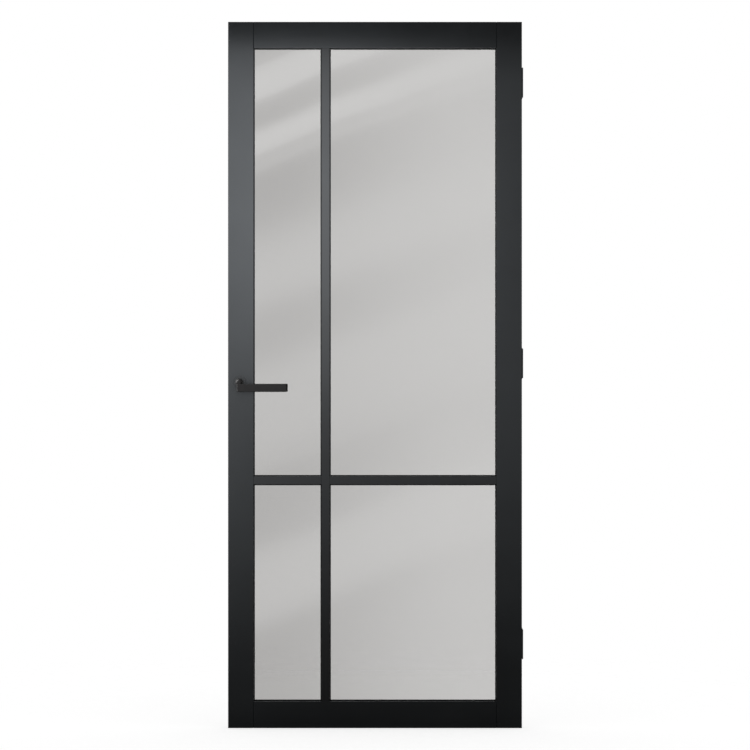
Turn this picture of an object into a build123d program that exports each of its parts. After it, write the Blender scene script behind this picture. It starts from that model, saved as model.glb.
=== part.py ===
from build123d import *
import os

# Framed glass door leaf with four panes, a flush latch, a pair of bar levers and three butt hinges.
# X runs along the width, Y from the front to the back, Z up. The origin is the middle of the
# leaf's bottom edge, halfway through its thickness.

# Leaf frame
leaf_width = 880
leaf_height = 2115
leaf_thickness = 40
stile_width = 76
top_rail_height = 78
bottom_rail_height = 80
arris = 1.2
overrun = 2
frame_dowel_radius = 6
frame_dowel_length = 80
frame_dowel_shares = (0.32, 0.74)
bar_dowel_radius = 3
bar_dowel_grip = 15
glue_gap = 0.1
dowel_end_room = 1

# Glazing bars
bar_width = 24
bar_setback = 292
cross_bar_height = 742
bar_arris = 0.8

# Glazing
glass_thickness = 5
gasket_wall = 3
gasket_reveal = 3.5
gasket_bevel = 1.5
rebate = 9
glass_edge_room = 3
bead_arris = 1

# Latch
backset = 35
spindle_height = 1036
forend_width = 20
forend_height = 140
forend_thickness = 3
forend_corner = 4
forend_screw_inset = 12
recess_room = 0.15
case_thickness = 15
case_wall = 1.5
case_below_axis = 16
mortise_room = 0.5
running_gap = 0.3
bolt_rise = 30
bolt_height = 24
bolt_thickness = 11
bolt_head_length = 12
bolt_arris = 0.8
bolt_throw = 10
tail_height = 8
tail_thickness = 6
collar_length = 3
collar_height = 16
magnet_radius = 4
magnet_length = 4
carriage_plate = 4
carriage_setback = 19.7
follower_radius = 8
follower_arm_width = 5
follower_arm_reach = 15.5
follower_arm_thickness = 8
lug_length = 4
lug_gap = 0.5
lug_foot_gap = 1.8

# Handles
spindle_size = 8
spindle_fit = 0.05
spindle_bore_radius = 10
spindle_end_room = 0.5
rosette_radius = 18
rosette_wall = 1.5
rosette_arris = 0.8
rosette_base_thickness = 3.4
spring_thickness = 1.5
spring_mean_radius = 10
spring_width = 1.5
spring_sweep = 300
journal_radius = 8
journal_end_room = 1
neck_radius = 11
neck_arris = 7
lever_projection = 58
grip_thickness = 10
grip_height = 24
grip_drop = 5
grip_reach = 141
grip_heel = 6
grip_arris = 1.5
neck_inset = 2
spindle_grip = 35
grub_radius = 2.5
grub_gap = 0.1
grub_setback = 9
grub_sink = 0.5

# Hinges
hinge_height = 89
hinge_plate = 2
hinge_plate_inset = 32
hinge_corner = 5
hinge_gap = 2
knuckle_count = 5
knuckle_radius = 5
knuckle_standoff = 6.5
knuckle_gap = 0.3
knuckle_clearance = 0.5
ring_count = 2
ring_thickness = 1.5
pin_radius = 2.5
pin_fit = 0.1
pin_head_radius = 4
pin_head_height = 3
top_hinge_setback = 180
bottom_hinge_height = 250
hinge_screw_height_pitch = 60
hinge_screw_depth_pitch = 16

# Screws
hinge_hole_radius = 2.5
hinge_head_radius = 3.8
hinge_screw_radius = 2
hinge_screw_length = 30
small_hole_radius = 1.6
small_head_radius = 2.8
small_screw_radius = 1.4
small_screw_length = 11
screw_tip_length = 3
screw_gap = 0.1
countersink_angle = 90

# Places worked out from the sizes above
half_width = leaf_width / 2
front_y = -leaf_thickness / 2
back_y = leaf_thickness / 2
lock_edge = -half_width
hinge_edge = half_width
opening_left = lock_edge + stile_width
opening_right = hinge_edge - stile_width
opening_bottom = bottom_rail_height
opening_top = leaf_height - top_rail_height
glazing_half = glass_thickness / 2 + gasket_wall
lip_back = -glazing_half
lip_middle = (front_y + lip_back) / 2
bar_x = lock_edge + bar_setback
bar_half = bar_width / 2
web_half = bar_half - rebate
columns = {"left": (opening_left, bar_x - bar_half), "right": (bar_x + bar_half, opening_right)}
rows = {
    "lower": (opening_bottom, cross_bar_height - bar_half),
    "upper": (cross_bar_height + bar_half, opening_top),
}
axis_x = lock_edge + backset
axis_z = spindle_height
axis_place = [(axis_x, axis_z)]
bolt_z = axis_z + bolt_rise
bolt_half = bolt_height / 2
lug_front = axis_x + follower_arm_width / 2 + lug_gap
lug_back = lug_front + lug_length
case_front = lock_edge + forend_thickness
case_back = lug_back + bolt_throw + running_gap + case_wall
case_half = case_thickness / 2
cavity_half = case_half - case_wall
case_bottom = axis_z - case_below_axis
case_top = bolt_z + bolt_half + running_gap + case_wall
forend_z = (case_bottom + case_top) / 2
rosette_height = rosette_base_thickness + spring_thickness + running_gap + rosette_wall
rosette_face = front_y - rosette_height
grip_front = front_y - lever_projection
grip_back = grip_front + grip_thickness
neck_end = grip_front + neck_inset
grip_top = axis_z - grip_drop
spindle_end = rosette_face - spindle_grip
jamb_inner = hinge_edge + hinge_gap
pin_x = jamb_inner + hinge_plate - knuckle_radius
pin_y = back_y + knuckle_standoff
plate_front = back_y - hinge_plate_inset
screw_column_y = (plate_front + back_y) / 2
knuckle_pitch = (hinge_height - ring_count * ring_thickness) / knuckle_count
hinge_middles = {
    "bottom": bottom_hinge_height,
    "middle": (bottom_hinge_height + leaf_height - top_hinge_setback) / 2,
    "top": leaf_height - top_hinge_setback,
}


def leaf_plane(y):
    """The plane parallel to the leaf's faces at a given depth; extruding from it goes to the front."""
    return Plane.XZ.offset(-y)


def edge_plane(x):
    """The plane parallel to the leaf's long edges at a given place; extruding from it goes to +X."""
    return Plane.YZ.offset(x)


def bounded(u0, u1, v0, v1, mode=Mode.ADD):
    """Draw a rectangle between two bounds each way."""
    with Locations(((u0 + u1) / 2, (v0 + v1) / 2)):
        Rectangle(u1 - u0, v1 - v0, mode=mode)


def slab(x0, x1, z0, z1, y0, y1, mode=Mode.ADD):
    """A piece cut to length and width in the leaf's plane, from depth y0 to depth y1."""
    with BuildSketch(leaf_plane(y1)) as outline:
        bounded(x0, x1, z0, z1)
    extrude(outline.sketch, amount=y1 - y0, mode=mode)


def rods(plane, centres, radius, length, mode=Mode.ADD):
    """Round rods, or bores, that start on a plane."""
    with BuildSketch(plane) as outline:
        with Locations(*centres):
            Circle(radius)
    extrude(outline.sketch, amount=length, mode=mode)


def write(piece, name):
    piece.part.label = name
    export_step(piece.part, f"parts/{name}.step")


# Features that several pieces share
def glazing_pocket():
    """The rebate that runs round the whole opening, cut from the back."""
    slab(
        opening_left - rebate,
        opening_right + rebate,
        opening_bottom - rebate,
        opening_top + rebate,
        lip_back,
        back_y + overrun,
        Mode.SUBTRACT,
    )


top_dowel_places = [(0, opening_top + top_rail_height * share) for share in frame_dowel_shares]
bottom_dowel_places = [(0, opening_bottom - bottom_rail_height * share) for share in frame_dowel_shares]
frame_dowel_depth = frame_dowel_length / 2 + dowel_end_room
bar_dowel_depth = bar_dowel_grip + dowel_end_room


def frame_dowel_bores(joint_x, places):
    """Bores on both sides of a stile-to-rail joint."""
    start = edge_plane(joint_x - frame_dowel_depth)
    rods(start, places, frame_dowel_radius + glue_gap, 2 * frame_dowel_depth, Mode.SUBTRACT)


def cross_dowel_bores(joint_x):
    """Bores on both sides of a cross bar's end."""
    start = edge_plane(joint_x - bar_dowel_depth)
    place = (lip_middle, cross_bar_height)
    rods(start, [place], bar_dowel_radius + glue_gap, 2 * bar_dowel_depth, Mode.SUBTRACT)


def upright_dowel_bores(joint_z):
    """Bores on both sides of the upright bar's end."""
    start = Plane.XY.offset(joint_z - bar_dowel_depth)
    place = (bar_x, lip_middle)
    rods(start, [place], bar_dowel_radius + glue_gap, 2 * bar_dowel_depth, Mode.SUBTRACT)


def hinge_screw_places(middle_z):
    """Centres of a hinge plate's screws, as depth and height."""
    half_column = hinge_screw_depth_pitch / 2
    half_row = hinge_screw_height_pitch / 2
    return [
        (screw_column_y + column, middle_z + row)
        for column in (-half_column, half_column)
        for row in (-half_row, half_row)
    ]


def hinge_screw_seats(face_x, outward, middle_z):
    """Planes at the mouths of a hinge plate's screw holes, facing out of the plate."""
    return [Plane(origin=(face_x, y, z), z_dir=(outward, 0, 0)) for y, z in hinge_screw_places(middle_z)]


rosette_screw_offset = (journal_radius + rosette_radius) / 2
rosette_screw_places = [(axis_x, axis_z - rosette_screw_offset), (axis_x, axis_z + rosette_screw_offset)]
rosette_screw_seats = [
    Plane(origin=(x, front_y - rosette_base_thickness, z), z_dir=(0, -1, 0)) for x, z in rosette_screw_places
]
forend_screw_reach = forend_height / 2 - forend_screw_inset
forend_screw_places = [(0, forend_z - forend_screw_reach), (0, forend_z + forend_screw_reach)]
forend_screw_seats = [Plane(origin=(lock_edge, y, z), z_dir=(-1, 0, 0)) for y, z in forend_screw_places]

# Frame pieces: the stiles run the full height, and the rails stand between them
with BuildPart() as lock_stile:
    slab(lock_edge, opening_left, 0, leaf_height, front_y, back_y)
    fillet(lock_stile.edges(), radius=arris)
    glazing_pocket()
    frame_dowel_bores(opening_left, top_dowel_places + bottom_dowel_places)
    cross_dowel_bores(opening_left)
    with BuildSketch(edge_plane(lock_edge - overrun)):
        with Locations((0, forend_z)):
            RectangleRounded(
                forend_width + 2 * recess_room,
                forend_height + 2 * recess_room,
                forend_corner + recess_room,
            )
    extrude(amount=forend_thickness + overrun, mode=Mode.SUBTRACT)
    with BuildSketch(edge_plane(lock_edge)):
        bounded(
            -case_half - mortise_room,
            case_half + mortise_room,
            case_bottom - mortise_room,
            case_top + mortise_room,
        )
    extrude(amount=case_back + mortise_room - lock_edge, mode=Mode.SUBTRACT)
    rods(leaf_plane(back_y), axis_place, spindle_bore_radius, leaf_thickness, Mode.SUBTRACT)
    pilot_radius = small_screw_radius + screw_gap
    rosette_pilot = small_screw_length - rosette_base_thickness + dowel_end_room
    forend_pilot = small_screw_length - forend_thickness + dowel_end_room
    for pilot_start in (back_y, front_y + rosette_pilot):
        rods(leaf_plane(pilot_start), rosette_screw_places, pilot_radius, rosette_pilot, Mode.SUBTRACT)
    rods(edge_plane(case_front), forend_screw_places, pilot_radius, forend_pilot, Mode.SUBTRACT)
write(lock_stile, "lock_stile")

with BuildPart() as hinge_stile:
    slab(opening_right, hinge_edge, 0, leaf_height, front_y, back_y)
    fillet(hinge_stile.edges(), radius=arris)
    glazing_pocket()
    frame_dowel_bores(opening_right, top_dowel_places + bottom_dowel_places)
    cross_dowel_bores(opening_right)
    for middle_z in hinge_middles.values():
        recess_back = back_y + hinge_corner + overrun
        recess_front = plate_front - recess_room
        with BuildSketch(edge_plane(hinge_edge - hinge_plate)):
            with Locations(((recess_front + recess_back) / 2, middle_z)):
                RectangleRounded(
                    recess_back - recess_front,
                    hinge_height + 2 * recess_room,
                    hinge_corner + recess_room,
                )
        extrude(amount=hinge_plate + overrun, mode=Mode.SUBTRACT)
        rods(
            edge_plane(hinge_edge - hinge_screw_length - dowel_end_room),
            hinge_screw_places(middle_z),
            hinge_screw_radius + screw_gap,
            hinge_screw_length,
            Mode.SUBTRACT,
        )
write(hinge_stile, "hinge_stile")

with BuildPart() as top_rail:
    slab(opening_left, opening_right, opening_top, leaf_height, front_y, back_y)
    fillet(top_rail.edges(), radius=arris)
    glazing_pocket()
    frame_dowel_bores(opening_left, top_dowel_places)
    frame_dowel_bores(opening_right, top_dowel_places)
    upright_dowel_bores(opening_top)
write(top_rail, "top_rail")

with BuildPart() as bottom_rail:
    slab(opening_left, opening_right, 0, opening_bottom, front_y, back_y)
    fillet(bottom_rail.edges(), radius=arris)
    glazing_pocket()
    frame_dowel_bores(opening_left, bottom_dowel_places)
    frame_dowel_bores(opening_right, bottom_dowel_places)
    upright_dowel_bores(opening_bottom)
write(bottom_rail, "bottom_rail")

with BuildPart() as frame_dowels:
    for joint_x in (opening_left, opening_right):
        start = edge_plane(joint_x - frame_dowel_length / 2)
        rods(start, top_dowel_places + bottom_dowel_places, frame_dowel_radius, frame_dowel_length)
write(frame_dowels, "frame_dowels")

# Glazing bars: a face strip in front of the glass, with a web that runs back between the panes
with BuildPart() as vertical_bar:
    slab(bar_x - bar_half, bar_x + bar_half, opening_bottom, opening_top, front_y, lip_back)
    fillet(vertical_bar.faces().sort_by(Axis.Y)[0].edges(), radius=bar_arris)
    slab(bar_x - web_half, bar_x + web_half, opening_bottom - rebate, opening_top + rebate, lip_back, back_y)
    upright_dowel_bores(opening_bottom)
    upright_dowel_bores(opening_top)
    rods(
        edge_plane(bar_x - bar_half),
        [(lip_middle, cross_bar_height)],
        bar_dowel_radius + glue_gap,
        bar_width,
        Mode.SUBTRACT,
    )
write(vertical_bar, "vertical_bar")

for side, (left_x, right_x) in columns.items():
    with BuildPart() as cross_bar:
        bar_bottom = cross_bar_height - bar_half
        bar_top = cross_bar_height + bar_half
        web_bottom = cross_bar_height - web_half
        web_top = cross_bar_height + web_half
        slab(left_x, right_x, bar_bottom, bar_top, front_y, lip_back)
        fillet(cross_bar.faces().sort_by(Axis.Y)[0].edges(), radius=bar_arris)
        slab(left_x - rebate, right_x + rebate, web_bottom, web_top, lip_back, back_y)
        cross_dowel_bores(left_x)
        cross_dowel_bores(right_x)
    write(cross_bar, f"{side}_cross_bar")

with BuildPart() as bar_dowels:
    for joint_z in (opening_bottom, opening_top):
        start = Plane.XY.offset(joint_z - bar_dowel_grip)
        rods(start, [(bar_x, lip_middle)], bar_dowel_radius, 2 * bar_dowel_grip)
    for joint_x in (opening_left, opening_right):
        start = edge_plane(joint_x - bar_dowel_grip)
        rods(start, [(lip_middle, cross_bar_height)], bar_dowel_radius, 2 * bar_dowel_grip)
    start = edge_plane(bar_x - bar_half - bar_dowel_grip)
    crossing = [(lip_middle, cross_bar_height)]
    rods(start, crossing, bar_dowel_radius, bar_width + 2 * bar_dowel_grip)
write(bar_dowels, "bar_dowels")


# Glazing: each pane sits in a gasket that wraps its edge, held from behind by four mitred beads
def glass_slab(x0, x1, z0, z1, mode=Mode.ADD):
    cover = rebate - glass_edge_room
    half = glass_thickness / 2
    slab(x0 - cover, x1 + cover, z0 - cover, z1 + cover, -half, half, mode)


def bead_outlines(x0, x1, z0, z1):
    """The four mitred outlines round an opening, each with the side that faces the glass."""
    outer_left = x0 - rebate
    outer_right = x1 + rebate
    outer_bottom = z0 - rebate
    outer_top = z1 + rebate
    return {
        "top": ([(outer_left, outer_top), (x0, z1), (x1, z1), (outer_right, outer_top)], Axis.Z, 0),
        "bottom": (
            [(outer_left, outer_bottom), (outer_right, outer_bottom), (x1, z0), (x0, z0)],
            Axis.Z,
            -1,
        ),
        "left": ([(outer_left, outer_bottom), (x0, z0), (x0, z1), (outer_left, outer_top)], Axis.X, -1),
        "right": (
            [(outer_right, outer_bottom), (outer_right, outer_top), (x1, z1), (x1, z0)],
            Axis.X,
            0,
        ),
    }


for row, (low_z, high_z) in rows.items():
    for column, (left_x, right_x) in columns.items():
        pane_name = f"{row}_{column}"
        with BuildPart() as pane:
            glass_slab(left_x, right_x, low_z, high_z)
        write(pane, f"{pane_name}_pane")

        with BuildPart() as gasket:
            slab(
                left_x - rebate,
                right_x + rebate,
                low_z - rebate,
                high_z + rebate,
                -glazing_half,
                glazing_half,
            )
            slab(
                left_x + gasket_reveal,
                right_x - gasket_reveal,
                low_z + gasket_reveal,
                high_z - gasket_reveal,
                -glazing_half - overrun,
                glazing_half + overrun,
                Mode.SUBTRACT,
            )
            for face in (gasket.faces().sort_by(Axis.Y)[0], gasket.faces().sort_by(Axis.Y)[-1]):
                chamfer(face.inner_wires()[0].edges(), length=gasket_bevel)
            glass_slab(left_x, right_x, low_z, high_z, Mode.SUBTRACT)
        write(gasket, f"{pane_name}_gasket")

        for side, (outline, axis, sight) in bead_outlines(left_x, right_x, low_z, high_z).items():
            with BuildPart() as bead:
                with BuildSketch(leaf_plane(back_y)):
                    Polygon(*outline)
                extrude(amount=back_y - glazing_half)
                back_face = bead.faces().sort_by(Axis.Y)[-1]
                chamfer(back_face.edges().sort_by(axis)[sight], length=bead_arris)
            write(bead, f"{pane_name}_{side}_bead")

# Latch: a flush bolt that rides in a carriage, which the follower's arm draws back
bolt_window_height = bolt_height + 2 * running_gap
bolt_window_thickness = bolt_thickness + 2 * running_gap

with BuildPart() as forend_plate:
    with BuildSketch(edge_plane(lock_edge)):
        with Locations((0, forend_z)):
            RectangleRounded(forend_width, forend_height, forend_corner)
        with Locations((0, bolt_z)):
            Rectangle(bolt_window_thickness, bolt_window_height, mode=Mode.SUBTRACT)
    extrude(amount=forend_thickness)
    with Locations(*forend_screw_seats):
        CounterSinkHole(small_hole_radius, small_head_radius, forend_thickness, countersink_angle)
write(forend_plate, "forend_plate")

with BuildPart() as latch_case:
    slab(case_front, case_back, case_bottom, case_top, -case_half, cavity_half)
    slab(
        case_front + case_wall,
        case_back - case_wall,
        case_bottom + case_wall,
        case_top - case_wall,
        -cavity_half,
        cavity_half + overrun,
        Mode.SUBTRACT,
    )
    with BuildSketch(edge_plane(case_front)):
        with Locations((0, bolt_z)):
            Rectangle(bolt_window_thickness, bolt_window_height)
    extrude(amount=case_wall, mode=Mode.SUBTRACT)
    journal_hole = follower_radius + running_gap
    rods(leaf_plane(-cavity_half), axis_place, journal_hole, case_wall, Mode.SUBTRACT)
write(latch_case, "latch_case")

with BuildPart() as case_cover:
    slab(case_front, case_back, case_bottom, case_top, cavity_half, case_half)
    rods(leaf_plane(case_half), axis_place, journal_hole, case_wall, Mode.SUBTRACT)
write(case_cover, "case_cover")

tail_start = lock_edge + bolt_head_length
carriage_front = lock_edge + carriage_setback
carriage_inner = carriage_front + carriage_plate
collar_start = carriage_inner + bolt_throw + running_gap
collar_end = collar_start + collar_length
bolt_half_thickness = bolt_thickness / 2
tail_half = tail_thickness / 2
collar_half = collar_height / 2
magnet_plane = edge_plane(lock_edge)

with BuildPart() as latch_bolt:
    slab(
        lock_edge,
        tail_start,
        bolt_z - bolt_half,
        bolt_z + bolt_half,
        -bolt_half_thickness,
        bolt_half_thickness,
    )
    fillet(latch_bolt.faces().sort_by(Axis.X)[0].edges(), radius=bolt_arris)
    slab(
        tail_start,
        collar_end,
        bolt_z - tail_height / 2,
        bolt_z + tail_height / 2,
        -tail_half,
        tail_half,
    )
    slab(collar_start, collar_end, bolt_z - collar_half, bolt_z + collar_half, -tail_half, tail_half)
    rods(magnet_plane, [(0, bolt_z)], magnet_radius, magnet_length, Mode.SUBTRACT)
write(latch_bolt, "latch_bolt")

with BuildPart() as bolt_magnet:
    rods(magnet_plane, [(0, bolt_z)], magnet_radius, magnet_length)
write(bolt_magnet, "bolt_magnet")

cheek_gap = collar_half + running_gap
lug_foot = axis_z + follower_radius + lug_foot_gap

with BuildPart() as latch_carriage:
    with BuildSketch(leaf_plane(bolt_half_thickness)):
        bounded(carriage_front, lug_back, bolt_z - bolt_half, bolt_z + bolt_half)
        bounded(carriage_inner, lug_back, bolt_z - cheek_gap, bolt_z + cheek_gap, Mode.SUBTRACT)
        bounded(lug_front, lug_back, lug_foot, bolt_z - cheek_gap)
    extrude(amount=bolt_thickness)
    with BuildSketch(edge_plane(carriage_front)):
        with Locations((0, bolt_z)):
            Rectangle(tail_thickness + 2 * running_gap, tail_height + 2 * running_gap)
    extrude(amount=carriage_plate, mode=Mode.SUBTRACT)
write(latch_carriage, "latch_carriage")

spindle_hole = spindle_size + 2 * spindle_fit

with BuildPart() as follower:
    rods(leaf_plane(case_half), axis_place, follower_radius, case_thickness)
    arm_half = follower_arm_width / 2
    slab(
        axis_x - arm_half,
        axis_x + arm_half,
        axis_z,
        axis_z + follower_arm_reach,
        -follower_arm_thickness / 2,
        follower_arm_thickness / 2,
    )
    with BuildSketch(leaf_plane(case_half)):
        with Locations(*axis_place):
            Rectangle(spindle_hole, spindle_hole)
    extrude(amount=case_thickness, mode=Mode.SUBTRACT)
write(follower, "follower")


# Handles: a square spindle joins two bar levers, which turn in sprung rosettes
def square_rod(y_front, y_back, size, mode=Mode.ADD):
    """A square rod, or socket, along the spindle's axis."""
    with BuildSketch(leaf_plane(y_back)) as outline:
        with Locations(*axis_place):
            Rectangle(size, size)
    extrude(outline.sketch, amount=y_back - y_front, mode=mode)


with BuildPart() as spindle:
    square_rod(spindle_end, -spindle_end, spindle_size)
write(spindle, "spindle")

with BuildPart() as lever_grip:
    slab(
        axis_x - grip_heel,
        axis_x + grip_reach,
        grip_top - grip_height,
        grip_top,
        grip_front,
        grip_back,
    )
    fillet(lever_grip.edges(), radius=grip_arris)

neck_back = rosette_face - running_gap
journal_end = front_y - journal_end_room
grub_y = rosette_face - grub_setback
grub_tip = axis_z - spindle_size / 2
neck_underside = axis_z - neck_radius

with BuildPart() as front_lever:
    rods(leaf_plane(neck_back), axis_place, neck_radius, neck_back - neck_end)
    fillet(front_lever.faces().sort_by(Axis.Y)[0].edges(), radius=neck_arris)
    add(lever_grip.part)
    rods(leaf_plane(journal_end), axis_place, journal_radius, journal_end - neck_back)
    square_rod(spindle_end - spindle_end_room, journal_end, spindle_hole, Mode.SUBTRACT)
    rods(
        Plane.XY.offset(neck_underside - overrun),
        [(axis_x, grub_y)],
        grub_radius + grub_gap,
        grub_tip - neck_underside + overrun,
        Mode.SUBTRACT,
    )
write(front_lever, "front_lever")

with BuildPart() as back_lever:
    mirror(front_lever.part, about=Plane.XZ)
write(back_lever, "back_lever")

with BuildPart() as grub_screws:
    grub_bottom = neck_underside + grub_sink
    rods(
        Plane.XY.offset(grub_bottom),
        [(axis_x, grub_y), (axis_x, -grub_y)],
        grub_radius,
        grub_tip - grub_bottom,
    )
write(grub_screws, "grub_screws")

with BuildPart() as front_rosette:
    inner_radius = rosette_radius - rosette_wall
    rods(leaf_plane(front_y), axis_place, rosette_radius, rosette_height)
    fillet(front_rosette.faces().sort_by(Axis.Y)[0].edges(), radius=rosette_arris)
    rods(leaf_plane(front_y), axis_place, inner_radius, rosette_height - rosette_wall, Mode.SUBTRACT)
    rods(leaf_plane(front_y), axis_place, journal_radius + running_gap, rosette_height, Mode.SUBTRACT)
write(front_rosette, "front_rosette")

with BuildPart() as back_rosette:
    mirror(front_rosette.part, about=Plane.XZ)
write(back_rosette, "back_rosette")

with BuildPart() as front_rosette_base:
    rods(leaf_plane(front_y), axis_place, inner_radius - running_gap, rosette_base_thickness)
    rods(
        leaf_plane(front_y),
        axis_place,
        journal_radius + running_gap,
        rosette_base_thickness,
        Mode.SUBTRACT,
    )
    with Locations(*rosette_screw_seats):
        CounterSinkHole(small_hole_radius, small_head_radius, rosette_base_thickness, countersink_angle)
write(front_rosette_base, "front_rosette_base")

with BuildPart() as back_rosette_base:
    mirror(front_rosette_base.part, about=Plane.XZ)
write(back_rosette_base, "back_rosette_base")

with BuildPart() as front_spring:
    with BuildSketch(leaf_plane(front_y - rosette_base_thickness)):
        with BuildLine():
            CenterArc((axis_x, axis_z), spring_mean_radius, 0, spring_sweep)
        trace(line_width=spring_width)
    extrude(amount=spring_thickness)

with BuildPart() as lever_springs:
    add(front_spring.part)
    mirror(front_spring.part, about=Plane.XZ)
write(lever_springs, "lever_springs")

# Hinges: leaf plates let into the stile's edge, and jamb plates that stay put, on a common pin
pin_place = [(pin_x, pin_y)]


def knuckle_levels(middle_z):
    """Heights of the knuckles' ends, from the bottom: jamb, leaf, jamb, leaf, jamb, with two rings."""
    bottom = middle_z - hinge_height / 2
    first_ring = bottom + knuckle_pitch
    first_leaf = first_ring + ring_thickness
    middle_jamb = first_leaf + knuckle_pitch
    second_ring = middle_jamb + knuckle_pitch
    second_leaf = second_ring + ring_thickness
    last_jamb = second_leaf + knuckle_pitch
    top = last_jamb + knuckle_pitch
    return bottom, first_ring, first_leaf, middle_jamb, second_ring, second_leaf, last_jamb, top


def hinge_blank(plate_x, middle_z, gaps):
    """A plate with a knuckle along its back edge, cut away where the other plate's knuckles run."""
    bottom = middle_z - hinge_height / 2
    with BuildSketch(Plane.XY.offset(bottom)) as outline:
        bounded(plate_x, plate_x + hinge_plate, plate_front, pin_y)
    extrude(outline.sketch, amount=hinge_height)
    corners = edges().filter_by(Axis.X).group_by(Axis.Y)[0]
    fillet(corners, radius=hinge_corner)
    rods(Plane.XY.offset(bottom), pin_place, knuckle_radius, hinge_height)
    for low_z, high_z in gaps:
        cut_radius = knuckle_radius + knuckle_clearance
        rods(Plane.XY.offset(low_z), pin_place, cut_radius, high_z - low_z, Mode.SUBTRACT)
    rods(Plane.XY.offset(bottom), pin_place, pin_radius + pin_fit, hinge_height, Mode.SUBTRACT)


for level, middle_z in hinge_middles.items():
    levels = knuckle_levels(middle_z)
    bottom, first_ring, first_leaf, middle_jamb, second_ring, second_leaf, last_jamb, top = levels
    with BuildPart() as leaf_plate:
        leaf_gaps = [
            (bottom, first_leaf + knuckle_gap),
            (middle_jamb - knuckle_gap, second_leaf + knuckle_gap),
            (last_jamb - knuckle_gap, top),
        ]
        hinge_blank(hinge_edge - hinge_plate, middle_z, leaf_gaps)
        with Locations(*hinge_screw_seats(hinge_edge, 1, middle_z)):
            CounterSinkHole(hinge_hole_radius, hinge_head_radius, hinge_plate, countersink_angle)
    write(leaf_plate, f"{level}_leaf_plate")

    with BuildPart() as jamb_plate:
        hinge_blank(jamb_inner, middle_z, [(first_ring, middle_jamb), (second_ring, last_jamb)])
        with Locations(*hinge_screw_seats(jamb_inner, -1, middle_z)):
            CounterSinkHole(hinge_hole_radius, hinge_head_radius, hinge_plate, countersink_angle)
    write(jamb_plate, f"{level}_jamb_plate")

with BuildPart() as bearing_rings:
    for middle_z in hinge_middles.values():
        levels = knuckle_levels(middle_z)
        for ring_z in (levels[1], levels[4]):
            with BuildSketch(Plane.XY.offset(ring_z)):
                with Locations(*pin_place):
                    Circle(knuckle_radius)
                    Circle(pin_radius + pin_fit, mode=Mode.SUBTRACT)
            extrude(amount=ring_thickness)
write(bearing_rings, "bearing_rings")

with BuildPart() as hinge_pins:
    for middle_z in hinge_middles.values():
        bottom = middle_z - hinge_height / 2
        rods(Plane.XY.offset(bottom), pin_place, pin_radius, hinge_height)
        rods(Plane.XY.offset(bottom - pin_head_height), pin_place, pin_head_radius, pin_head_height)
        rods(Plane.XY.offset(bottom + hinge_height), pin_place, pin_head_radius, pin_head_height)
write(hinge_pins, "hinge_pins")


# Screws: countersunk heads that lie flush, with pointed shanks
def screw_profile(head_radius, shank_radius, length):
    """Half of a screw's outline, head up, with the point below."""
    shoulder = head_radius - shank_radius
    with BuildSketch(Plane.XZ) as outline:
        Polygon(
            (0, 0),
            (0, -length),
            (shank_radius, screw_tip_length - length),
            (shank_radius, -shoulder),
            (head_radius, 0),
        )
    revolve(outline.sketch, axis=Axis.Z)


with BuildPart() as hinge_screw:
    screw_profile(hinge_head_radius - screw_gap, hinge_screw_radius, hinge_screw_length)

with BuildPart() as small_screw:
    screw_profile(small_head_radius - screw_gap, small_screw_radius, small_screw_length)

with BuildPart() as hinge_screws:
    for middle_z in hinge_middles.values():
        with Locations(*hinge_screw_seats(hinge_edge, 1, middle_z)):
            add(hinge_screw.part)
write(hinge_screws, "hinge_screws")

with BuildPart() as front_rosette_screws:
    with Locations(*rosette_screw_seats):
        add(small_screw.part)

with BuildPart() as small_screws:
    with Locations(*forend_screw_seats):
        add(small_screw.part)
    add(front_rosette_screws.part)
    mirror(front_rosette_screws.part, about=Plane.XZ)
write(small_screws, "small_screws")
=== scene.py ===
import bmesh
import bpy
import math
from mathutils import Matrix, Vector


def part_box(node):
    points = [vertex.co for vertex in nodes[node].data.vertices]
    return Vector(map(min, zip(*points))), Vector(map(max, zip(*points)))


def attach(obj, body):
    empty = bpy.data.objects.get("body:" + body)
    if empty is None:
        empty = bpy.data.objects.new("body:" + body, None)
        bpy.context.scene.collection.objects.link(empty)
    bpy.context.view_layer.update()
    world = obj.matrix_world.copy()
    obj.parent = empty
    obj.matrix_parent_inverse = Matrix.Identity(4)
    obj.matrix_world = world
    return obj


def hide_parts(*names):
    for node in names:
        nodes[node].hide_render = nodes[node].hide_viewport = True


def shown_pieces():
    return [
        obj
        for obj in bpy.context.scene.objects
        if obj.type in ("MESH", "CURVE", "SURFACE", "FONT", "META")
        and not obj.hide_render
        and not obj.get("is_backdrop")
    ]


# A framed glass door leaf: black lacquered stiles, rails and bars, grey glass in rubber gaskets,
# a pair of bar levers and three butt hinges. Metres, +Z up, the leaf's front faces -Y.

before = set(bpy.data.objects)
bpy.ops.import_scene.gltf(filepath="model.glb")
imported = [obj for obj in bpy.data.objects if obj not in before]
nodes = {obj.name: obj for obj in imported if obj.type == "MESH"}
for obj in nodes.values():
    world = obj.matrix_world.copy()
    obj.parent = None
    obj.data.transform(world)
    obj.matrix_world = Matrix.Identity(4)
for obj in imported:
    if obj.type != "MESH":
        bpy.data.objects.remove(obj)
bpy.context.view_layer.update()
scene = bpy.context.scene
scene.view_settings.view_transform = "Standard"


# Places on the leaf, from the frame
def middle_of(name):
    low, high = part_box(name)
    return (low + high) / 2


stile_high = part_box("hinge_stile")[1]
leaf_half_width = stile_high.x
leaf_height = stile_high.z
spindle = middle_of("spindle")
hinge_middles = [middle_of(f"{place}_leaf_plate").z for place in ("bottom", "middle", "top")]
hinge_plate_middle = (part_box("middle_leaf_plate")[0].y + stile_high.y) / 2
rosette_base_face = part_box("back_rosette_base")[1].y
pane_names = [f"{row}_{side}" for row in ("lower", "upper") for side in ("left", "right")]

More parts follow.
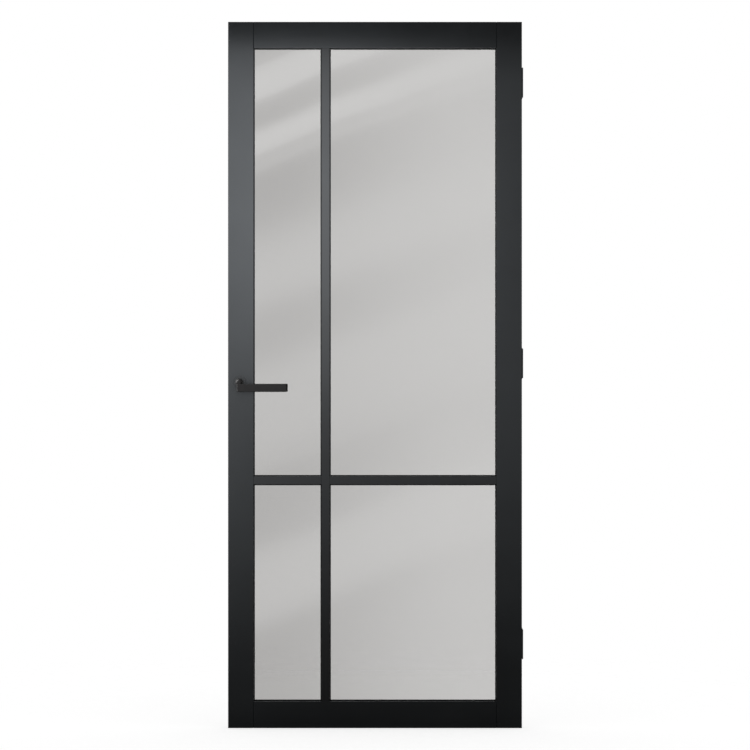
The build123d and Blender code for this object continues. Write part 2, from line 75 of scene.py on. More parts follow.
# Joints of the rails with the stiles, where the lacquer gets painted shade: how far out, and how far above
# and below the panes' middle
rail_low, rail_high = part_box("top_rail")
joint_x = rail_high.x
joint_middle = (rail_low.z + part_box("bottom_rail")[1].z) / 2
joint_rise = rail_low.z - joint_middle
joint_half = 0.0014

# Screw patterns, each from the middle or the end of the piece that it holds
hinge_screw_run = 0.008
hinge_screw_rise = 0.030
forend_screw_inset = 0.012
rosette_screw_offset = 0.013


# Node helpers
def feed(tree, kind, settings=None, **inputs):
    """A new node, with its inputs linked or set by name; names stand with _ for a space."""
    node = tree.nodes.new(kind)
    for label, value in (settings or {}).items():
        setattr(node, label, value)
    for label, value in inputs.items():
        sockets = [s for s in node.inputs if s.enabled and s.name == label.replace("_", " ")]
        for part in value if isinstance(value, list) else [value]:
            if isinstance(part, bpy.types.NodeSocket):
                tree.links.new(part, sockets[0])
            else:
                sockets[0].default_value = part
    return node


def sums(tree, operation, first, second=0.0):
    """One step of arithmetic on sockets or numbers."""
    node = tree.nodes.new("ShaderNodeMath")
    node.operation = operation
    for socket, value in zip(node.inputs, (first, second)):
        if isinstance(value, bpy.types.NodeSocket):
            tree.links.new(value, socket)
        else:
            socket.default_value = value
    return node.outputs[0]


def ranged(tree, value, start, end, low, high, kind="SMOOTHSTEP"):
    """A value carried from one range to another, and kept within it."""
    node = feed(
        tree,
        "ShaderNodeMapRange",
        {"interpolation_type": kind},
        Value=value,
        From_Min=start,
        From_Max=end,
        To_Min=low,
        To_Max=high,
    )
    return node.outputs["Result"]


def chosen(tree, when, otherwise, then):
    """One value or another, or a share of both."""
    return feed(tree, "ShaderNodeMix", Factor=when, A=otherwise, B=then).outputs["Result"]


def length_of(tree, vector):
    return feed(tree, "ShaderNodeVectorMath", {"operation": "LENGTH"}, Vector=vector).outputs["Value"]


def mixed_shaders(tree, share, first, second):
    node = feed(tree, "ShaderNodeMixShader", Fac=share)
    tree.links.new(first, node.inputs[1])
    tree.links.new(second, node.inputs[2])
    return node.outputs["Shader"]


class Finish:
    """A material on one Principled shader, whose patterns follow the piece's own place in the frame."""

    pattern_low, pattern_high = 0.3, 0.7

    def __init__(self, name, **constants):
        self.material = bpy.data.materials.new(name)
        self.material.use_nodes = True
        self.tree = self.material.node_tree
        self.shader = next(n for n in self.tree.nodes if n.type == "BSDF_PRINCIPLED")
        self.output = next(n for n in self.tree.nodes if n.type == "OUTPUT_MATERIAL")
        self.place = self.tree.nodes.new("ShaderNodeTexCoord").outputs["Object"]
        for label, value in constants.items():
            self.shader.inputs[label.replace("_", " ")].default_value = value

    def stretched(self, scale):
        return feed(self.tree, "ShaderNodeMapping", Vector=self.place, Scale=scale).outputs["Vector"]

    def noise(self, scale, detail, place=None):
        place = place or self.place
        texture = feed(self.tree, "ShaderNodeTexNoise", Vector=place, Scale=scale, Detail=detail)
        return texture.outputs["Fac"]

    def spread(self, value, low, high):
        """A pattern's value brought between two levels."""
        return ranged(self.tree, value, self.pattern_low, self.pattern_high, low, high, "LINEAR")

    def tones(self, value, first, second):
        """Two colours, told apart by a pattern's value."""
        ramp = feed(self.tree, "ShaderNodeValToRGB", Fac=value)
        ends = ((self.pattern_low, first), (self.pattern_high, second))
        for element, (position, colour) in zip(ramp.color_ramp.elements, ends):
            element.position = position
            element.color = (*colour, 1)
        return ramp.outputs["Color"]

    def give(self, label, out):
        """Link a pattern to one of the shader's inputs."""
        self.tree.links.new(out, self.shader.inputs[label])

    def colour(self, out):
        self.give("Base Color", out)

    def roughness(self, out):
        self.give("Roughness", out)

    def relief(self, height, strength, depth):
        """Fine relief from a pattern."""
        bump = feed(self.tree, "ShaderNodeBump", Height=height, Strength=strength, Distance=depth)
        self.give("Normal", bump.outputs["Normal"])


# Finishes
def painted_joint_shade(coat):
    """Painted shade in the grooves where the rails meet the stiles: 1 there, and 0 elsewhere."""
    tree = coat.tree
    along = feed(tree, "ShaderNodeSeparateXYZ", Vector=coat.place).outputs
    across = sums(tree, "SUBTRACT", sums(tree, "ABSOLUTE", along["X"]), joint_x)
    in_groove = sums(tree, "LESS_THAN", sums(tree, "ABSOLUTE", across), joint_half)
    rise = sums(tree, "SUBTRACT", along["Z"], joint_middle)
    beside_rail = sums(tree, "GREATER_THAN", sums(tree, "ABSOLUTE", rise), joint_rise)
    return sums(tree, "MULTIPLY", in_groove, beside_rail)


def satin_lacquer(name, dark, light, sheen):
    """Sprayed black lacquer: slow changes of tone, a fine spray grain, a little orange peel, and painted
    shade in the joints, where its shine is taken out."""
    shine, grain_share = 0.5, 0.35
    coat = Finish(name, IOR=1.5)
    coat.colour(coat.tones(coat.noise(scale=7.0, detail=3.0), dark, light))
    coat.roughness(coat.spread(coat.noise(scale=45.0, detail=3.0), *sheen))
    peel = coat.noise(scale=230.0, detail=1.0)
    grain = coat.spread(coat.noise(scale=1400.0, detail=2.0), 0.0, grain_share)
    coat.relief(sums(coat.tree, "ADD", peel, grain), strength=0.05, depth=0.0002)
    # Painted shade: the shine is taken out in the joint grooves so that they read as shaded
    outside_painted_joint_shade = sums(coat.tree, "SUBTRACT", 1.0, painted_joint_shade(coat))
    coat.give("Specular IOR Level", sums(coat.tree, "MULTIPLY", outside_painted_joint_shade, shine))
    return coat.material


def powder_coat(name, dark, light, sheen):
    """Black powder coat on metal: a close grain and a duller face than the lacquer."""
    coat = Finish(name, IOR=1.5, Specular_IOR_Level=0.5)
    coat.colour(coat.tones(coat.noise(scale=60.0, detail=3.0), dark, light))
    coat.roughness(coat.spread(coat.noise(scale=320.0, detail=3.0), *sheen))
    coat.relief(coat.noise(scale=1900.0, detail=2.0), strength=0.12, depth=0.0001)
    return coat.material


def grey_glass():
    """Tinted float glass that lets the lamps through."""
    dark, light = (0.437, 0.431, 0.423), (0.451, 0.445, 0.437)
    let_through = (0.6, 0.6, 0.6, 1)
    pane = Finish("grey_glass", IOR=1.52, Transmission_Weight=1.0, Roughness=0.0)
    pane.colour(pane.tones(pane.noise(scale=1.6, detail=2.0), dark, light))
    pane.relief(pane.noise(scale=2.2, detail=1.0), strength=0.02, depth=0.002)
    clear = feed(pane.tree, "ShaderNodeBsdfTransparent", Color=let_through)
    shadow = pane.tree.nodes.new("ShaderNodeLightPath").outputs["Is Shadow Ray"]
    seen = mixed_shaders(pane.tree, shadow, pane.shader.outputs["BSDF"], clear.outputs["BSDF"])
    pane.tree.links.new(seen, pane.output.inputs["Surface"])
    return pane.material


def gasket_rubber():
    """Matt black rubber with a faint bloom."""
    dark, light, sheen = (0.006, 0.006, 0.006), (0.012, 0.012, 0.012), (0.50, 0.66)
    rubber = Finish("gasket_rubber", IOR=1.45, Specular_IOR_Level=0.3)
    rubber.colour(rubber.tones(rubber.noise(scale=85.0, detail=3.0), dark, light))
    rubber.roughness(rubber.spread(rubber.noise(scale=240.0, detail=2.0), *sheen))
    rubber.relief(rubber.noise(scale=1500.0, detail=2.0), strength=0.15, depth=0.0001)
    return rubber.material


def drawn_metal(name, dark, light, sheen, along):
    """Bare or plated metal with fine lines left by drawing or brushing."""
    metal = Finish(name, Metallic=1.0)
    lines = metal.noise(scale=420.0, detail=2.0, place=metal.stretched(along))
    metal.colour(metal.tones(lines, dark, light))
    metal.roughness(metal.spread(lines, *sheen))
    metal.relief(lines, strength=0.06, depth=0.0001)
    return metal.material


def black_nylon():
    """Moulded black nylon, slightly grained."""
    dark, light, sheen = (0.020, 0.020, 0.021), (0.030, 0.030, 0.032), (0.38, 0.50)
    plastic = Finish("black_nylon", IOR=1.5)
    plastic.colour(plastic.tones(plastic.noise(scale=130.0, detail=2.0), dark, light))
    plastic.roughness(plastic.spread(plastic.noise(scale=400.0, detail=2.0), *sheen))
    plastic.relief(plastic.noise(scale=1200.0, detail=2.0), strength=0.08, depth=0.0001)
    return plastic.material


def beech():
    """Bare beech, with its short darker flecks along the grain."""
    dark, light, sheen = (0.42, 0.26, 0.13), (0.56, 0.38, 0.22), (0.52, 0.66)
    wood = Finish("beech", IOR=1.45)
    flecks = wood.noise(scale=260.0, detail=3.0, place=wood.stretched((0.05, 1.0, 1.0)))
    wood.colour(wood.tones(flecks, dark, light))
    wood.roughness(wood.spread(flecks, *sheen))
    wood.relief(flecks, strength=0.1, depth=0.0002)
    return wood.material


frame_lacquer = satin_lacquer(
    "frame_lacquer", dark=(0.0088, 0.0098, 0.0106), light=(0.0112, 0.0124, 0.0134), sheen=(0.29, 0.34)
)
bar_lacquer = satin_lacquer(
    "bar_lacquer", dark=(0.0092, 0.0092, 0.0095), light=(0.0116, 0.0116, 0.0120), sheen=(0.29, 0.34)
)
lever_coat = powder_coat(
    "lever_coat", dark=(0.0108, 0.0101, 0.0103), light=(0.0136, 0.0127, 0.0130), sheen=(0.40, 0.48)
)
rosette_coat = powder_coat(
    "rosette_coat", dark=(0.0095, 0.0098, 0.0102), light=(0.0125, 0.0128, 0.0132), sheen=(0.30, 0.36)
)
hinge_coat = powder_coat(
    "hinge_coat", dark=(0.018, 0.0185, 0.019), light=(0.024, 0.0245, 0.025), sheen=(0.36, 0.44)
)
pane_glass = grey_glass()
rubber = gasket_rubber()
plated_steel = drawn_metal(
    "plated_steel",
    dark=(0.42, 0.42, 0.43),
    light=(0.58, 0.58, 0.58),
    sheen=(0.26, 0.40),
    along=(1.0, 1.0, 0.06),
)
magnet_nickel = drawn_metal(
    "magnet_nickel",
    dark=(0.58, 0.56, 0.52),
    light=(0.70, 0.68, 0.64),
    sheen=(0.14, 0.24),
    along=(0.08, 1.0, 1.0),
)
nylon = black_nylon()
dowel_beech = beech()


def finish_of(name):
    """The finish of a CAD node, from its name."""
    if name in ("vertical_bar", "left_cross_bar", "right_cross_bar") or name.endswith("bead"):
        return bar_lacquer
    if name.endswith("pane"):
        return pane_glass
    if name.endswith("gasket"):
        return rubber
    if name.endswith("dowels"):
        return dowel_beech
    if name in ("front_lever", "back_lever"):
        return lever_coat
    if name in ("front_rosette", "back_rosette"):
        return rosette_coat
    if name == "bolt_magnet":
        return magnet_nickel
    if name in ("latch_carriage", "follower", "front_rosette_base", "back_rosette_base", "latch_bolt"):
        return nylon
    if name in ("latch_case", "case_cover", "spindle", "lever_springs", "grub_screws", "bearing_rings"):
        return plated_steel
    if name.endswith(("plate", "screws", "pins")):
        return hinge_coat
    return frame_lacquer


for name, node in nodes.items():
    for slot in node.material_slots:
        slot.material = finish_of(name)


# Node trees for what repeats or follows a path
def new_tree(name, inputs):
    tree = bpy.data.node_groups.new(name, "GeometryNodeTree")
    tree.interface.new_socket("Geometry", in_out="INPUT", socket_type="NodeSocketGeometry")
    for label, kind in inputs.items():
        tree.interface.new_socket(label, in_out="INPUT", socket_type=f"NodeSocket{kind}")
    tree.interface.new_socket("Geometry", in_out="OUTPUT", socket_type="NodeSocketGeometry")
    return tree, tree.nodes.new("NodeGroupInput").outputs, tree.nodes.new("NodeGroupOutput").inputs


def close_tree(tree, geometry, finish, output):
    """End a tree: real geometry with its finish."""
    real = feed(tree, "GeometryNodeRealizeInstances", Geometry=geometry)
    dressed = feed(tree, "GeometryNodeSetMaterial", Geometry=real.outputs[0], Material=finish)
    tree.links.new(dressed.outputs[0], output["Geometry"])


def made_from(tree, base, name, values):
    """Run a tree on a base mesh and keep the result as a plain piece at the origin."""
    carrier = bpy.data.objects.new(f"{name}_base", base)
    scene.collection.objects.link(carrier)
    modifier = carrier.modifiers.new(name, "NODES")
    modifier.node_group = tree
    sockets = {i.name: i.identifier for i in tree.interface.items_tree if i.in_out == "INPUT"}
    for label, value in values.items():
        modifier[sockets[label]] = value
    mesh = bpy.data.meshes.new_from_object(carrier.evaluated_get(bpy.context.evaluated_depsgraph_get()))
    carrier.modifiers.remove(modifier)
    bpy.data.objects.remove(carrier)
    close_shell(mesh)
    mesh.name = name
    piece = bpy.data.objects.new(name, mesh)
    scene.collection.objects.link(piece)
    return piece


def close_shell(mesh):
    """Weld the lengths of a mesh into closed shells, with no wall left inside and all faces outwards."""
    same_place = 1e-6
    shape = bmesh.new()
    shape.from_mesh(mesh)
    bmesh.ops.remove_doubles(shape, verts=shape.verts, dist=same_place)
    walls = [face for face in shape.faces if all(len(edge.link_faces) > 2 for edge in face.edges)]
    bmesh.ops.delete(shape, geom=walls, context="FACES_ONLY")
    bmesh.ops.recalc_face_normals(shape, faces=shape.faces)
    shape.to_mesh(mesh)
    shape.free()


def seats_mesh(name, seats):
    """Points for the screws, each with the way that its head faces."""
    mesh = bpy.data.meshes.new(name)
    mesh.from_pydata([place for place, facing in seats], [], [])
    facing_data = mesh.attributes.new("facing", "FLOAT_VECTOR", "POINT")
    for point, (place, facing) in zip(facing_data.data, seats):
        point.vector = facing
    return mesh


def set_on_seats(tree, given, screw):
    """Put one screw on every seat, head outwards, each turned by its own chance."""
    facing = feed(tree, "GeometryNodeInputNamedAttribute", {"data_type": "FLOAT_VECTOR"}, Name="facing")
    facing = facing.outputs["Attribute"]
    upright = feed(tree, "FunctionNodeAlignRotationToVector", {"axis": "Z"}, Vector=facing)
    chance = feed(tree, "FunctionNodeRandomValue", Min=0.0, Max=math.pi, Seed=given["Seed"])
    turn = feed(tree, "FunctionNodeAxisAngleToRotation", Axis=(0, 0, 1), Angle=chance.outputs[1])
    turned = feed(
        tree,
        "FunctionNodeRotateRotation",
        {"rotation_space": "LOCAL"},
        Rotation=upright.outputs[0],
        Rotate_By=turn.outputs[0],
    )
    points = feed(tree, "GeometryNodeMeshToPoints", Mesh=given["Geometry"])
    return feed(
        tree,
        "GeometryNodeInstanceOnPoints",
        Points=points.outputs[0],
        Instance=screw,
        Rotation=turned.outputs[0],
    ).outputs[0]


def turned_length(tree, facets, top, bottom, length, foot):
    """A cone or a rod of so many facets round Z, with its foot so far below the seat."""
    rod = feed(
        tree,
        "GeometryNodeMeshCone",
        Vertices=facets,
        Radius_Top=top,
        Radius_Bottom=bottom,
        Depth=length,
    )
    place = feed(tree, "ShaderNodeCombineXYZ", Z=sums(tree, "MULTIPLY", foot, -1.0))
    moved = feed(tree, "GeometryNodeTransform", Geometry=rod.outputs["Mesh"], Translation=place.outputs[0])
    return moved.outputs[0]


def cut_from(tree, body, tools):
    cut = feed(tree, "GeometryNodeMeshBoolean", {"operation": "DIFFERENCE", "solver": "EXACT"})
    tree.links.new(body, cut.inputs["Mesh 1"])
    for tool in tools:
        tree.links.new(tool, cut.inputs["Mesh 2"])
    return cut.outputs["Mesh"]


def wood_screw_tree():
    """A countersunk wood screw with a cross recess, set on every seat."""
    tree, given, output = new_tree(
        "wood_screw",
        {
            "Head Radius": "Float",
            "Shank Radius": "Float",
            "Length": "Float",
            "Point Length": "Float",
            "Recess Width": "Float",
            "Recess Reach": "Float",
            "Recess Depth": "Float",
            "Seed": "Int",
            "Finish": "Material",
        },
    )
    facets = 40
    radius, length, point_length = given["Shank Radius"], given["Length"], given["Point Length"]
    head_depth = sums(tree, "SUBTRACT", given["Head Radius"], radius)
    head = turned_length(tree, facets, given["Head Radius"], radius, head_depth, head_depth)
    wings = []
    twice = sums(tree, "MULTIPLY", given["Recess Depth"], 2.0)
    for across, along in (("Recess Width", "Recess Reach"), ("Recess Reach", "Recess Width")):
        size = feed(tree, "ShaderNodeCombineXYZ", X=given[across], Y=given[along], Z=twice)
        wings.append(feed(tree, "GeometryNodeMeshCube", Size=size.outputs[0]).outputs["Mesh"])
    shank_foot = sums(tree, "SUBTRACT", length, point_length)
    shank_length = sums(tree, "SUBTRACT", shank_foot, head_depth)
    shank = turned_length(tree, facets, radius, radius, shank_length, shank_foot)
    point = turned_length(tree, facets, radius, 0.0, point_length, length)
    screw = feed(tree, "GeometryNodeJoinGeometry", Geometry=[cut_from(tree, head, wings), shank, point])
    close_tree(tree, set_on_seats(tree, given, screw.outputs[0]), given["Finish"], output)
    return tree


def grub_screw_tree():
    """A headless set screw with a hexagon socket, set on every seat."""
    tree, given, output = new_tree(
        "grub_screw",
        {
            "Radius": "Float",
            "Length": "Float",
            "Socket Radius": "Float",
            "Socket Depth": "Float",
            "Seed": "Int",
            "Finish": "Material",
        },
    )
    rod_facets, socket_facets = 32, 6
    radius, length = given["Radius"], given["Length"]
    socket_radius, socket_depth = given["Socket Radius"], given["Socket Depth"]
    rod = turned_length(tree, rod_facets, radius, radius, length, length)
    twice = sums(tree, "MULTIPLY", socket_depth, 2.0)
    socket = turned_length(tree, socket_facets, socket_radius, socket_radius, twice, socket_depth)
    screw = cut_from(tree, rod, [socket])
    close_tree(tree, set_on_seats(tree, given, screw), given["Finish"], output)
    return tree


def gasket_tree():
    """A gasket's section carried round a pane, mitred at the four corners."""
    tree, given, output = new_tree(
        "gasket",
        {
            "Middle X": "Float",
            "Middle Z": "Float",
            "Half Width": "Float",
            "Half Height": "Float",
            "Finish": "Material",
        },
    )

    def noted(geometry):
        """The geometry, with its points' places kept before it is swept."""
        place = feed(tree, "GeometryNodeInputPosition")
        note = tree.nodes.new("GeometryNodeCaptureAttribute")
        note.capture_items.new("VECTOR", "Place")
        tree.links.new(geometry, note.inputs["Geometry"])
        tree.links.new(place.outputs[0], note.inputs["Place"])
        parts = feed(tree, "ShaderNodeSeparateXYZ", Vector=note.outputs["Place"])
        return note.outputs["Geometry"], parts.outputs

    section = feed(tree, "GeometryNodeMeshToCurve", Mesh=given["Geometry"])
    section, spot = noted(section.outputs[0])
    round_pane = feed(tree, "GeometryNodeCurvePrimitiveQuadrilateral", Width=2.0, Height=2.0)
    round_pane, corner = noted(round_pane.outputs[0])
    swept = feed(tree, "GeometryNodeCurveToMesh", Curve=round_pane, Profile_Curve=section)
    across = sums(tree, "MULTIPLY", corner["X"], sums(tree, "SUBTRACT", given["Half Width"], spot["X"]))
    upward = sums(tree, "MULTIPLY", corner["Y"], sums(tree, "SUBTRACT", given["Half Height"], spot["X"]))
    place = feed(
        tree,
        "ShaderNodeCombineXYZ",
        X=sums(tree, "ADD", given["Middle X"], across),
        Y=spot["Y"],
        Z=sums(tree, "ADD", given["Middle Z"], upward),
    )
    laid = feed(tree, "GeometryNodeSetPosition", Geometry=swept.outputs[0], Position=place.outputs[0])
    close_tree(tree, laid.outputs[0], given["Finish"], output)
    return tree


def gasket_section(name):
    """Half a section, mirrored about the glass: a channel with a groove and a rounded lip on each wall."""
    half_depth, lip_end, slot_end, glass_half = 0.0055, 0.0125, 0.003, 0.0025
    groove_start, groove_slope, groove_floor, groove_depth = 0.0094, 0.0002, 0.0004, 0.0004
    lip_round, lip_steps = 0.0021, 5
    floor_start = groove_start + groove_slope
    floor_end = floor_start + groove_floor
    upper = [
        (0.0, half_depth),
        (groove_start, half_depth),
        (floor_start, half_depth - groove_depth),
        (floor_end, half_depth - groove_depth),
        (floor_end + groove_slope, half_depth),
    ]
    for step in range(lip_steps + 1):
        angle = math.radians(90 * (1 - step / lip_steps))
        along = lip_end - lip_round + lip_round * math.cos(angle)
        upper.append((along, half_depth - lip_round + lip_round * math.sin(angle)))
    upper += [(lip_end, glass_half), (slot_end, glass_half)]
    section = upper + [(along, -depth) for along, depth in reversed(upper)]
    count = len(section)
    mesh = bpy.data.meshes.new(name)
    mesh.from_pydata([(*point, 0) for point in section], [(i, (i + 1) % count) for i in range(count)], [])
    return mesh


def add_piece(piece, body, slot, *stands_for):
    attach(piece, body)
    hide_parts(*stands_for)


# Screws of the hinges, the forend and the rosettes
wood_screws = wood_screw_tree()
hinge_seats = [
    ((leaf_half_width, hinge_plate_middle + run, middle + rise), (1, 0, 0))
    for middle in hinge_middles
    for run in (-hinge_screw_run, hinge_screw_run)
    for rise in (-hinge_screw_rise, hinge_screw_rise)
]
hinge_screws = made_from(wood_screws, seats_mesh("hinge_seats", hinge_seats), "hinge_wood_screws", {
    "Head Radius": 0.0037,
    "Shank Radius": 0.0020,
    "Length": 0.030,
    "Point Length": 0.003,
    "Recess Width": 0.0011,
    "Recess Reach": 0.0046,
    "Recess Depth": 0.0012,
    "Seed": 4,
    "Finish": hinge_coat,
})
add_piece(hinge_screws, "leaf", "black_metal", "hinge_screws")

forend_low, forend_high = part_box("forend_plate")
small_seats = [
    ((-leaf_half_width, 0.0, height), (-1, 0, 0))
    for height in (forend_low.z + forend_screw_inset, forend_high.z - forend_screw_inset)
]
small_seats += [
    ((spindle.x, side * rosette_base_face, spindle.z + rise), (0, side, 0))
    for side in (-1, 1)
    for rise in (-rosette_screw_offset, rosette_screw_offset)
]
small_screws = made_from(wood_screws, seats_mesh("small_seats", small_seats), "forend_and_rosette_screws", {
    "Head Radius": 0.0027,
    "Shank Radius": 0.0014,
    "Length": 0.011,
    "Point Length": 0.003,
    "Recess Width": 0.0008,
    "Recess Reach": 0.0033,
    "Recess Depth": 0.0009,
    "Seed": 9,
    "Finish": hinge_coat,
})
add_piece(small_screws, "leaf", "black_metal", "small_screws")

# Set screws that hold the levers on the spindle
grub_low, grub_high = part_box("grub_screws")
grub_radius = (grub_high.x - grub_low.x) / 2
grub_seats = [
    ((spindle.x, depth, grub_low.z), (0, 0, -1))
    for depth in (grub_low.y + grub_radius, grub_high.y - grub_radius)
]
grubs = made_from(grub_screw_tree(), seats_mesh("grub_seats", grub_seats), "lever_set_screws", {
    "Radius": grub_radius,
    "Length": grub_high.z - grub_low.z,
    "Socket Radius": 0.0014,
    "Socket Depth": 0.0022,
    "Seed": 2,
    "Finish": plated_steel,
})
add_piece(grubs, "levers", "bare_steel", "grub_screws")

# Gaskets round the four panes
gaskets = gasket_tree()
for pane_name in pane_names:
    low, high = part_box(f"{pane_name}_gasket")
    gasket = made_from(gaskets, gasket_section(f"{pane_name}_section"), f"{pane_name}_lipped_gasket", {
        "Middle X": (low.x + high.x) / 2,
        "Middle Z": (low.z + high.z) / 2,
        "Half Width": (high.x - low.x) / 2,
        "Half Height": (high.z - low.z) / 2,
        "Finish": rubber,
    })
    add_piece(gasket, "leaf", "gasket_rubber", f"{pane_name}_gasket")


# Camera: straight on, level with the middle of the leaf
camera_distance = 9.0
camera_data = bpy.data.cameras.new("camera")
camera_data.lens = 143.95
camera_data.sensor_width = 36.0
camera_data.clip_end = 100.0
camera = bpy.data.objects.new("camera", camera_data)
camera.location = (0.0, -camera_distance, leaf_height / 2)
camera.rotation_euler = (math.radians(90), 0, 0)
scene.collection.objects.link(camera)
scene.camera = camera


# Studio: white behind the leaf, dim on the camera's side and to the right, soft light from the upper left
def add_world():
    """A white surround. Shiny faces see it bright only behind the leaf, so that the lacquer stays black."""
    bright_way, bright_from, bright_to = (-0.25, 0.80, 0.20), 0.0, 0.8
    dim, full, ambient = 0.06, 1.0, 0.62
    world = bpy.data.worlds.new("studio")
    scene.world = world
    world.use_nodes = True
    tree = world.node_tree
    background = next(n for n in tree.nodes if n.type == "BACKGROUND")
    background.inputs["Color"].default_value = (1, 1, 1, 1)
    ray = tree.nodes.new("ShaderNodeLightPath").outputs
    way = tree.nodes.new("ShaderNodeTexCoord").outputs["Generated"]
    towards = feed(tree, "ShaderNodeVectorMath", {"operation": "DOT_PRODUCT"}, Vector=way)
    towards.inputs[1].default_value = bright_way
    mirrored = ranged(tree, towards.outputs["Value"], bright_from, bright_to, dim, full)
    strength = chosen(tree, ray["Is Glossy Ray"], ambient, mirrored)
    strength = chosen(tree, ray["Is Transmission Ray"], strength, full)
    strength = chosen(tree, ray["Is Camera Ray"], strength, full)
    tree.links.new(strength, background.inputs["Strength"])


def add_lamp(name, place, aim, width, height, power, tint):
    """An area lamp that the camera doesn't see."""
    data = bpy.data.lights.new(name, "AREA")
    data.shape = "RECTANGLE"
    data.size = width
    data.size_y = height
    data.energy = power
    data.color = tint
    lamp = bpy.data.objects.new(name, data)
    lamp.location = place
    lamp.rotation_euler = (Vector(aim) - Vector(place)).to_track_quat("-Z", "Y").to_euler()
    lamp.visible_camera = False
    scene.collection.objects.link(lamp)
    return lamp


def add_sheet(name, finish_name, corners, place):
    """A flat four-cornered sheet of the studio, with the tree and the end of a material still to fill."""
    mesh = bpy.data.meshes.new(name)
    mesh.from_pydata(corners, [], [(0, 1, 2, 3)])
    sheet = bpy.data.objects.new(name, mesh)
    sheet.location = place
    scene.collection.objects.link(sheet)
    material = bpy.data.materials.new(finish_name)
    material.use_nodes = True
    tree = material.node_tree
    tree.nodes.clear()
    mesh.materials.append(material)
    sheet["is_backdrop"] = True
    return sheet, tree, tree.nodes.new("ShaderNodeOutputMaterial").inputs["Surface"]


def add_floor():
    """A white floor that keeps the leaf's soft shadow and fades into the white behind it."""
    half, drop = 2.6, 0.0005
    tone, glow_level, fade_start, fade_end = 0.5, 0.70, 0.9, 2.4
    corners = [(-half, -half, 0), (half, -half, 0), (half, half, 0), (-half, half, 0)]
    floor, tree, surface = add_sheet("floor", "white_floor", corners, (0, 0, -drop))
    floor.visible_glossy = False
    ray = tree.nodes.new("ShaderNodeLightPath").outputs
    seen = sums(tree, "MAXIMUM", ray["Is Camera Ray"], ray["Is Transmission Ray"])
    matt = feed(tree, "ShaderNodeBsdfDiffuse", Color=(tone, tone, tone, 1))
    glow = feed(tree, "ShaderNodeEmission", Strength=sums(tree, "MULTIPLY", seen, glow_level))
    both = tree.nodes.new("ShaderNodeAddShader")
    tree.links.new(matt.outputs[0], both.inputs[0])
    tree.links.new(glow.outputs[0], both.inputs[1])
    reach = length_of(tree, tree.nodes.new("ShaderNodeTexCoord").outputs["Object"])
    fade = ranged(tree, reach, fade_start, fade_end, 0.0, 1.0)
    clear = tree.nodes.new("ShaderNodeBsdfTransparent")
    tree.links.new(mixed_shaders(tree, fade, both.outputs[0], clear.outputs[0]), surface)


def shade_window_lamp(lamp):
    """A broad glow that dies away downwards, to the right and in its upper right corner, with a soft hot
    spot in its upper part. Places on the lamp run from 0 to 1, from its lower left corner."""
    spot_place, spot_scale, spot_glow = (-0.69, -1.90, 0), (1.99, 2.44, 0), 0.93
    low_glow, high_glow, high_from = 0.045, 0.77, 0.56
    right_share, fall_power = 0.33, 2.6
    corner_from, corner_loss = 0.93, 0.75
    lamp.data.use_nodes = True
    tree = lamp.data.node_tree
    glow = next(n for n in tree.nodes if n.type == "EMISSION")
    place = tree.nodes.new("ShaderNodeNewGeometry").outputs["Parametric"]
    along = feed(tree, "ShaderNodeSeparateXYZ", Vector=place).outputs
    upward = ranged(tree, along["Y"], 0.0, high_from, low_glow, high_glow)
    leftward = sums(tree, "POWER", sums(tree, "SUBTRACT", 1.0, along["X"]), fall_power)
    across = ranged(tree, leftward, 0.0, 1.0, right_share, 1.0, "LINEAR")
    top_loss = ranged(tree, along["Y"], corner_from, 1.0, 0.0, corner_loss)
    corner = sums(tree, "SUBTRACT", 1.0, sums(tree, "MULTIPLY", top_loss, along["X"]))
    broad = sums(tree, "MULTIPLY", sums(tree, "MULTIPLY", upward, across), corner)
    spot = feed(tree, "ShaderNodeMapping", Vector=place, Location=spot_place, Scale=spot_scale)
    hot = ranged(tree, length_of(tree, spot.outputs[0]), 0.0, 1.0, spot_glow, 0.0)
    tree.links.new(sums(tree, "ADD", broad, hot), glow.inputs["Strength"])


def curve_through(tree, points, value):
    """A smooth curve through a few points, from 0 to 1 both ways."""
    node = feed(tree, "ShaderNodeFloatCurve", Value=value)
    curve = node.mapping.curves[0]
    curve.points[0].location = points[0]
    curve.points[1].location = points[-1]
    for place in points[1:-1]:
        curve.points.new(*place)
    node.mapping.update()
    return node.outputs["Value"]


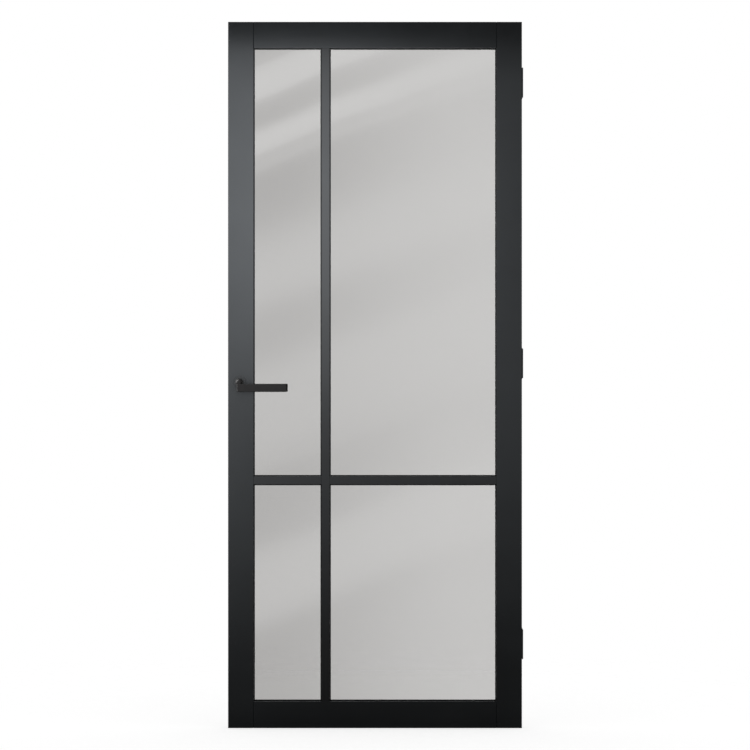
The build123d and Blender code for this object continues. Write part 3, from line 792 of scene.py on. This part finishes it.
def add_band_card():
    """A card that only the panes mirror: soft slanting bands, plainest on its left half."""
    half_width, half_height, distance = 0.75, 1.6, 2.6
    slant, wander_scale, wander_reach = -0.38, 1.6, 0.08
    left_edge, right_edge = -0.5, 0.45
    left_bands, left_base, right_bands, right_base = 3.9, 0.05, 0.9, 3.05
    # Height up the card and strength, both from 0 to 1
    bands = [
        (0, 0), (0.15, 0.02), (0.235, 0.02), (0.265, 0.25), (0.315, 0.57), (0.35, 0.45), (0.39, 0.1),
        (0.42, 0.09), (0.46, 0.34), (0.54, 0.55), (0.61, 0.2), (0.68, 0.6), (0.79, 0.05), (0.815, 0.4),
        (0.831, 0.5), (0.85, 0.97), (0.878, 0.22), (0.904, 0.9), (0.92, 1.0), (0.945, 0.5), (0.97, 0.2),
        (1, 0.1),
    ]
    corners = [
        (-half_width, 0, -half_height),
        (-half_width, 0, half_height),
        (half_width, 0, half_height),
        (half_width, 0, -half_height),
    ]
    card, tree, surface = add_sheet("band_card", "band_card", corners, (0, -distance, leaf_height / 2))
    for ray in ("camera", "diffuse", "transmission", "volume_scatter", "shadow"):
        setattr(card, f"visible_{ray}", False)
    place = tree.nodes.new("ShaderNodeTexCoord").outputs["Object"]
    along = feed(tree, "ShaderNodeSeparateXYZ", Vector=place).outputs
    wander = feed(tree, "ShaderNodeTexNoise", Vector=place, Scale=wander_scale, Detail=1.0)
    rise = sums(tree, "ADD", along["Z"], sums(tree, "MULTIPLY", along["X"], slant))
    rise = sums(tree, "ADD", rise, sums(tree, "MULTIPLY", wander.outputs["Fac"], wander_reach))
    spot = ranged(tree, rise, -half_height, half_height, 0.0, 1.0, "LINEAR")
    band = sums(tree, "MAXIMUM", curve_through(tree, bands, spot), 0.0)
    left = sums(tree, "ADD", sums(tree, "MULTIPLY", band, left_bands), left_base)
    right = sums(tree, "ADD", sums(tree, "MULTIPLY", band, right_bands), right_base)
    side = ranged(tree, along["X"], left_edge, right_edge, 0.0, 1.0)
    glow = feed(tree, "ShaderNodeEmission", Strength=chosen(tree, side, left, right))
    tree.links.new(glow.outputs[0], surface)
    return card


add_world()
add_floor()

# Each lamp has its own work: the window lamp is the sheen on the lacquer, the band card is what the
# panes mirror, and the side lamp models the levers
window_lit = bpy.data.collections.new("window_lit")
card_lit = bpy.data.collections.new("card_lit")
side_lit = bpy.data.collections.new("side_lit")
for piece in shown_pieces():
    finishes = [slot.material for slot in piece.material_slots]
    lit = card_lit if pane_glass in finishes else side_lit if lever_coat in finishes else window_lit
    lit.objects.link(piece)

window_lamp = add_lamp(
    "window_lamp",
    place=(0.0, -0.22, 1.042),
    aim=(0.0, 0.0, 1.042),
    width=1.385,
    height=2.062,
    power=19.1,
    tint=(0.92, 0.96, 1.0),
)
shade_window_lamp(window_lamp)
side_lamp = add_lamp(
    "side_lamp",
    place=(-2.5, -1.65, 2.2),
    aim=(-0.4, -0.07, 1.04),
    width=2.4,
    height=2.4,
    power=150.0,
    tint=(1.0, 1.0, 1.0),
)
band_card = add_band_card()
for light, lit in ((window_lamp, window_lit), (side_lamp, side_lit), (band_card, card_lit)):
    light.light_linking.receiver_collection = lit
